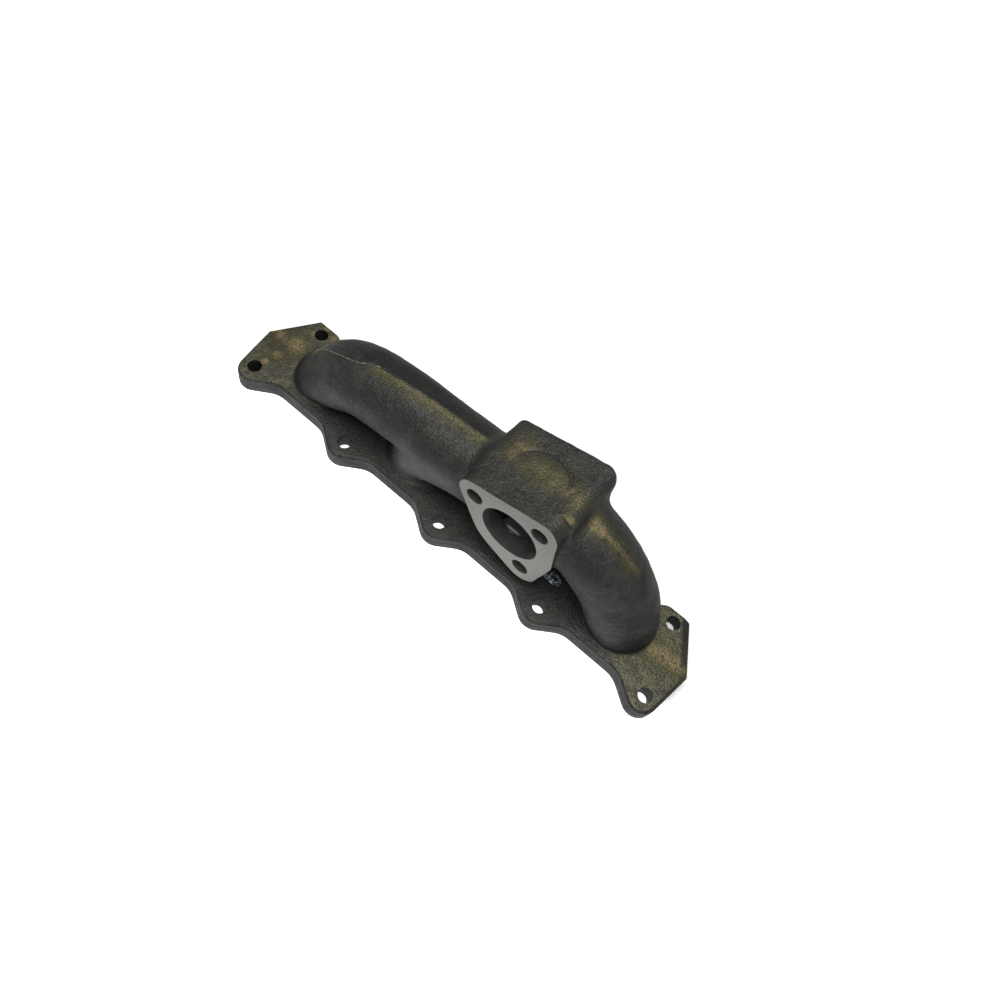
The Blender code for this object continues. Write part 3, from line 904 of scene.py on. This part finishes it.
def field_normals(mesh):
    """Normals from the field on the cast skin, and flat ones on the caps."""
    normals = slope_at(read(mesh.vertices, "co", 3) / MM)[read(mesh.loops, "vertex_index", 1, int)]
    sizes = read(mesh.polygons, "loop_total", 1, int)
    on_cap = np.repeat(read(mesh.attributes["cap"].data, "value", 1, int) > 0, sizes)
    normals[on_cap] = np.repeat(read(mesh.polygons, "normal", 3), sizes, axis=0)[on_cap]
    mesh.normals_split_custom_set(normals)


def portion(name, span, cuts, replaced):
    """Closed part of the cast skin between two x, with more cuts of (axis, side, place, mark)."""
    across = skin_points[:, 0][skin_quads]
    quads = skin_quads[(across.max(axis=1) > span[0]) & (across.min(axis=1) < span[1])]
    used, packed = np.unique(quads, return_inverse=True)
    mesh = bpy.data.meshes.new(name)
    mesh.from_pydata(skin_points[used] * MM, [], packed.reshape(-1, 4))
    bm = bmesh.new()
    bm.from_mesh(mesh)
    caps = bm.faces.layers.int.new("cap")
    cut(bm, 2, -1, FEET_Z)
    cut(bm, 0, -1, span[0], caps)
    cut(bm, 0, 1, span[1], caps)
    close(bm, 2, -1, FEET_Z, caps)
    for axis, sign, at, mark in cuts:
        cut(bm, axis, sign, at, caps, mark)
    bmesh.ops.dissolve_degenerate(bm, dist=1e-7, edges=bm.edges[:])
    for face in bm.faces:
        face.smooth = face[caps] == 0
        face.material_index = 1 if face[caps] == 2 else 0
    for edge in bm.edges:
        if len({face[caps] for face in edge.link_faces}) > 1:
            edge.smooth = False
    loose = [v for v in bm.verts if not v.link_faces]
    bmesh.ops.delete(bm, geom=loose, context='VERTS')
    bm.to_mesh(mesh)
    bm.free()
    # faces of a passage's wall get its scale
    in_bore = sample(hollow, read(mesh.polygons, "center", 3) / MM) < 0.7
    slots = read(mesh.polygons, "material_index", 1, int)
    mesh.polygons.foreach_set("material_index", np.where(in_bore & (slots == 0), 2, slots))
    field_normals(mesh)
    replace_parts(finish_mesh(name, mesh, [iron, machined, scale]), *replaced)


for axis, at in ((0, LEFT_X), (0, MIDDLE_X), (0, RIGHT_X), (1, PLATE_Y), (1, OUT_Y), (2, SECOND_Z),
                 (2, THIRD_Z)):
    near = np.abs(skin_points[:, axis] - at) < SNAP
    skin_points[near, axis] = at
portion("runner_1_cast", (X[0] - 1, LEFT_X), [], ["runner_1"])
portion("runner_2_cast", (LEFT_X, MIDDLE_X), [(2, 1, SECOND_Z, 1)], ["runner_2"])
portion("log_cast", (LEFT_X, MIDDLE_X), [(2, -1, SECOND_Z, 1)], ["log_tube"])
portion("runner_3_cast", (MIDDLE_X, RIGHT_X), [(1, -1, PLATE_Y, 1), (2, 1, THIRD_Z, 1)], ["runner_3"])
portion("collector_cast", (MIDDLE_X, RIGHT_X), [(1, -1, PLATE_Y, 1), (2, -1, THIRD_Z, 1)],
        ["collector_hood"])
portion("outlet_plate_cast", (MIDDLE_X, RIGHT_X), [(1, -1, OUT_Y, 2), (1, 1, PLATE_Y, 1)],
        ["outlet_flange"])
portion("runner_4_cast", (RIGHT_X, X[-1] + 1), [], ["runner_4"])


# -------------------- head flange
def flange_corners():
    """Corners of the flange's outline, its edges cut straight after casting, and ground ones."""
    apex = STUD_Y + LOBE_R / math.cos(FLANK_SLOPE)
    foot = (apex - FLAT_Y) / math.tan(FLANK_SLOPE)
    trim = (apex - REAR_Y) / math.tan(FLANK_SLOPE)
    tip = STUD_Y + LOBE_R
    end = 2 * CYL_PITCH
    front = [(-end - 9.1, -tip, CORNER_R), (-end + 4.0, -tip, CORNER_R),
             (-end + foot, -FLAT_Y, SCALLOP_R)]
    for x in (-CYL_PITCH, 0.0, CYL_PITCH):
        front += [(x - foot, -FLAT_Y, SCALLOP_R), (x, -apex, LOBE_R), (x + foot, -FLAT_Y, SCALLOP_R)]
    front += [(end - foot, -FLAT_Y, SCALLOP_R), (end - 4.0, -tip, CORNER_R),
              (end + 9.1, -tip, CORNER_R)]
    right_end = [(END_X, END_CUT_Y, 2.0), (END_CUT_X, REAR_Y, 2.0)]
    rear = [(END_STUD_X - trim, REAR_Y, 8.0), (END_STUD_X - foot, FLAT_Y, SCALLOP_R)]
    for x in (CYL_PITCH, 0.0, -CYL_PITCH):
        rear += [(x + foot, FLAT_Y, SCALLOP_R), (x + trim, REAR_Y, 8.0),
                 (x - trim, REAR_Y, 8.0), (x - foot, FLAT_Y, SCALLOP_R)]
    rear += [(foot - END_STUD_X, FLAT_Y, SCALLOP_R), (trim - END_STUD_X, REAR_Y, 8.0)]
    left_end = [(-END_CUT_X, REAR_Y, 2.0), (-END_X, END_CUT_Y, 2.0)]
    corners = front + right_end + rear + left_end
    on_cut = [abs(y - REAR_Y) < 0.1 or abs(x) > END_STUD_X + 8 and y > 0 for x, y, r in corners]
    count = len(corners)
    sawn = {k for k in range(count) if on_cut[k] and on_cut[(k + 1) % count]}
    sawn |= {len(front) - 1, count - 1}
    ground = {len(front): GROUND_WIDE, len(front) - 1: GROUND_NARROW}
    return corners, sawn, ground


def drill_bit(centre, radius, chamfer, sides):
    """Round cutter for a hole through the flange, widening to a chamfer at the top."""
    profile = [(radius, -1.0), (radius, FLANGE_T - chamfer), (radius + chamfer + 1, FLANGE_T + 1)]
    return ring_mesh("bit", [[(centre[0] + x, centre[1] + y, z) for x, y in circle(wide, sides)]
                             for wide, z in profile])


def blank_rings():
    """Rings of the flange's rim going up, drawn in by its draft and rounded at the top edge."""
    levels = [(0.0, 0.3, 0.3), (0.3, 0.0, 0.0), (6.4, 0.0, 0.0), (7.0, 0.25, 0.05),
              (FLANGE_T - EDGE_ROUND, DRAFT, SAWN_DRAFT)]
    for k in range(1, 7):
        turn = math.radians(15 * k)
        levels.append((FLANGE_T - EDGE_ROUND * (1 - math.sin(turn)),
                       DRAFT + EDGE_ROUND * (1 - math.cos(turn)),
                       SAWN_DRAFT + SAWN_ROUND * (1 - math.cos(turn))))
    corners, sawn, ground = flange_corners()
    rings = []
    for z, cast, straight in levels:
        insets = [straight if k in sawn else cast for k in range(len(corners))]
        rise = max(0.0, (z - FLANGE_T) / EDGE_ROUND + 1)
        for k, width in ground.items():
            insets[k] = straight + width * rise
        rings.append([(x, y, z) for x, y in rounded(corners, insets)])
    return rings


def head_flange():
    """Scalloped plate with its stud holes and ports; its underside is machined."""
    blank = bpy.data.objects.new("head_flange_blank", ring_mesh("head_flange_blank", blank_rings()))
    link(blank)
    drill = bmesh.new()
    studs = [((i - 2) * CYL_PITCH, -STUD_Y) for i in range(5)]
    studs += [(x, STUD_Y) for x in (-END_STUD_X, -CYL_PITCH, 0.0, CYL_PITCH, END_STUD_X)]
    ports = [(x * CYL_PITCH, PORT_Y) for x in (-1.5, -0.5, 0.5, 1.5)]
    for centres, radius, chamfer, sides in ((studs, STUD_R, 0.2, 48), (ports, PORT_R, 0.3, 72)):
        for centre in centres:
            bit = drill_bit(centre, radius, chamfer, sides)
            drill.from_mesh(bit)
            bpy.data.meshes.remove(bit)
    tool = bpy.data.meshes.new("drill")
    drill.to_mesh(tool)
    drill.free()
    cutter = bpy.data.objects.new("drill", tool)
    link(cutter)
    mod = blank.modifiers.new("holes", 'BOOLEAN')
    mod.operation = 'DIFFERENCE'
    mod.solver = 'EXACT'
    mod.object = cutter
    evaluated = blank.evaluated_get(bpy.context.evaluated_depsgraph_get())
    ready = bpy.data.meshes.new_from_object(evaluated)
    bpy.data.objects.remove(blank)
    bpy.data.objects.remove(cutter)
    ready.name = "head_flange_cast"
    for poly in ready.polygons:
        poly.use_smooth = True
    ready.set_sharp_from_angle(angle=math.radians(28))
    ready.materials.clear()
    obj = finish_mesh("head_flange_cast", ready, [iron, machined])
    for poly in ready.polygons:
        highest = max(ready.vertices[v].co.z for v in poly.vertices)
        poly.material_index = 1 if highest < 0.4 * MM else 0
    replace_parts(obj, "head_flange")


head_flange()


# -------------------- roof pad, gate mark and threads
def disc(name, rings, under, place, mat, sharp=False):
    """Closed cap from rings of (x, y, height) points, inner first, with a flat underside."""
    foot = [(p[0], p[1], under) for p in rings[-1]]
    mesh = ring_mesh(name, rings + [foot], smooth=lambda face: not sharp)
    mesh.transform(place)
    return finish_mesh(name, mesh, [mat])


def roof_pad():
    """Raised oval on the roof: full height along its rear, running out to little at the front."""
    profile = [(-10.8, 1.0), (-9.0, 1.04), (-6.0, 1.03), (-4.0, 1.0), (-2.8, 0.93), (-2.0, 0.80),
               (-1.4, 0.60), (-1.0, 0.36), (-0.6, 0.0), (-0.3, -0.4)]
    draw = np.random.default_rng(11)
    waves = [(draw.uniform(0.1, 0.3) / n, n, draw.uniform(0, 2 * math.pi)) for n in (2, 3, 5, 7, 11)]
    rings = []
    for grow, height in profile:
        ring = []
        for k in range(96):
            turn = 2 * math.pi * k / 96
            wobble = sum(size * math.sin(n * turn + phase) for size, n, phase in waves)
            wide = PAD_HALF[0] + grow + wobble
            deep = PAD_HALF[1] + grow + wobble
            stand = 0.56 + 0.44 * math.cos(turn - math.radians(80))
            ring.append((wide * math.cos(turn), deep * math.sin(turn),
                         height * PAD_T * (stand if grow > -4.5 else 0.75 + 0.25 * stand)))
        rings.append(ring)
    x, y = PAD_AT
    place = Matrix.Translation(Vector((x, y, roof(x))) * MM) \
        @ Matrix.Rotation(-math.atan(HOOD_SLOPE), 4, 'Y') @ Matrix.Rotation(PAD_TURN, 4, 'Z')
    pad = disc("roof_pad_cast", rings, -0.6, place, iron)
    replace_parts(pad, "roof_pad")


def gate_mark():
    """Rough stub where the gate was broken off the flange."""
    draw = np.random.default_rng(5)
    rings = []
    for share, height in ((0.1, 1.6), (0.36, 2.0), (0.62, 1.7), (0.84, 1.0), (1.0, 0.02)):
        ring = []
        for k in range(22):
            turn = 2 * math.pi * k / 22
            reach = share * draw.uniform(0.85, 1.12)
            lift = height * draw.uniform(0.2, 1.5) if share < 1 else -0.1
            ring.append((GATE_HALF[0] * reach * math.cos(turn), GATE_HALF[1] * reach * math.sin(turn),
                         lift))
        rings.append(ring)
    place = Matrix.Translation(Vector((*GATE_AT, FLANGE_T)) * MM)
    mark = disc("gate_mark", rings, -0.5, place, broken, sharp=True)
    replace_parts(mark, "gate_stub")


def parting_flash():
    """Thin fin of metal left along the parting line on runner 1, half sunk into its skin."""
    path = []
    for (share, turn), (next_share, next_turn) in zip(FLASH_TURNS, FLASH_TURNS[1:]):
        for k in range(4):
            part = k / 4
            path.append(Vector(log_surface((share + (next_share - share) * part) / 60,
                                           math.radians(turn + (next_turn - turn) * part), 0.1)))
    draw = np.random.default_rng(8)
    rings = []
    for i, spot in enumerate(path):
        ahead = (path[min(i + 1, len(path) - 1)] - path[max(i - 1, 0)]).normalized()
        sideways = ahead.cross(Vector((0, 0, 1))).normalized()
        lift = sideways.cross(ahead)
        thick = FLASH_R * draw.uniform(0.6, 1.15) * min(1.0, 0.3 + 0.25 * min(i, len(path) - 1 - i))
        rings.append([spot + sideways * across + lift * up for across, up in circle(thick, 8)])
    mesh = ring_mesh("parting_flash", rings, smooth=lambda face: len(face.verts) == 4)
    finish_mesh("parting_flash", mesh, [fin])


def thread(index, x, z):
    """Threaded lining of one outlet hole."""
    sides, per_turn = 40, 8
    front, back = OUT_Y + 0.5, OUT_Y + HOLE_DEPTH
    rows = int((back - front) / THREAD_PITCH * per_turn)
    rings = []
    for i in range(rows + 1):
        y = front + (back - front) * i / rows
        ring = []
        for k, (across, up) in enumerate(circle(1.0, sides)):
            phase = ((y - front) / THREAD_PITCH + k / sides) % 1.0
            depth = 1 - abs(2 * phase - 1)
            radius = OUT_BOLT_R - 0.4 + 0.35 * depth
            ring.append((x + radius * across, y, z + radius * up))
        rings.append(ring)
    for y in (back, front):
        rings.append([(x + across, y, z + up) for across, up in circle(OUT_BOLT_R + 0.2, sides)])
    mesh = ring_mesh(f"outlet_thread_{index}", rings, looped=True, smooth=lambda face: True)
    mesh.set_sharp_from_angle(angle=math.radians(40))
    finish_mesh(f"outlet_thread_{index}", mesh, [scale])


roof_pad()
gate_mark()
parting_flash()
for index, (x, z) in enumerate(OUT_BOLTS):
    thread(index + 1, OUT_X + x, OUT_Z + z)


# -------------------- camera, light and floor
back = Vector((math.sin(AZIMUTH) * math.cos(ELEVATION), -math.cos(AZIMUTH) * math.cos(ELEVATION),
               math.sin(ELEVATION)))
level = Vector((math.cos(AZIMUTH), math.sin(AZIMUTH), 0))
upward = back.cross(level)
right = math.cos(ROLL) * level + math.sin(ROLL) * upward
top = -math.sin(ROLL) * level + math.cos(ROLL) * upward
camera_data = bpy.data.cameras.new("camera")
camera_data.sensor_width = SENSOR
camera_data.lens = LENS
camera_data.clip_start = 0.01
camera = bpy.data.objects.new("camera", camera_data)
camera.matrix_world = Matrix.Translation((Vector(CAMERA_AIM) + back * CAMERA_AWAY) * MM) \
    @ Matrix((right, top, back)).transposed().to_4x4()
link(camera)
bpy.context.scene.camera = camera

floor_mesh = bpy.data.meshes.new("floor")
floor_mesh.from_pydata([(x * FLOOR_HALF * MM, y * FLOOR_HALF * MM, FLOOR_Z * MM)
                        for x, y in ((-1, -1), (1, -1), (1, 1), (-1, 1))], [], [(0, 1, 2, 3)])
floor = bpy.data.objects.new("floor", floor_mesh)
link(floor)
floor_mesh.materials.append(pale_floor())

world = bpy.data.worlds.new("studio")
bpy.context.scene.world = world
world.use_nodes = True
world.node_tree.nodes["Background"].inputs["Color"].default_value = (0.86, 0.93, 1.0, 1)
world.node_tree.nodes["Background"].inputs["Strength"].default_value = 0.22


def area_light(name, way, distance, size, power, colour):
    """Round soft light in the direction way from the object, aimed at it."""
    data = bpy.data.lights.new(name, 'AREA')
    data.shape = 'DISK'
    data.size = size
    data.energy = power
    data.color = colour
    obj = bpy.data.objects.new(name, data)
    obj.location = Vector(way).normalized() * distance
    obj.rotation_euler = Vector(way).to_track_quat('Z', 'Y').to_euler()
    link(obj)


area_light("key", way=(0.03, -0.06, 0.99), distance=1.2, size=1.2, power=24, colour=(1.0, 0.97, 0.92))

bpy.context.scene.view_settings.view_transform = 'Standard'
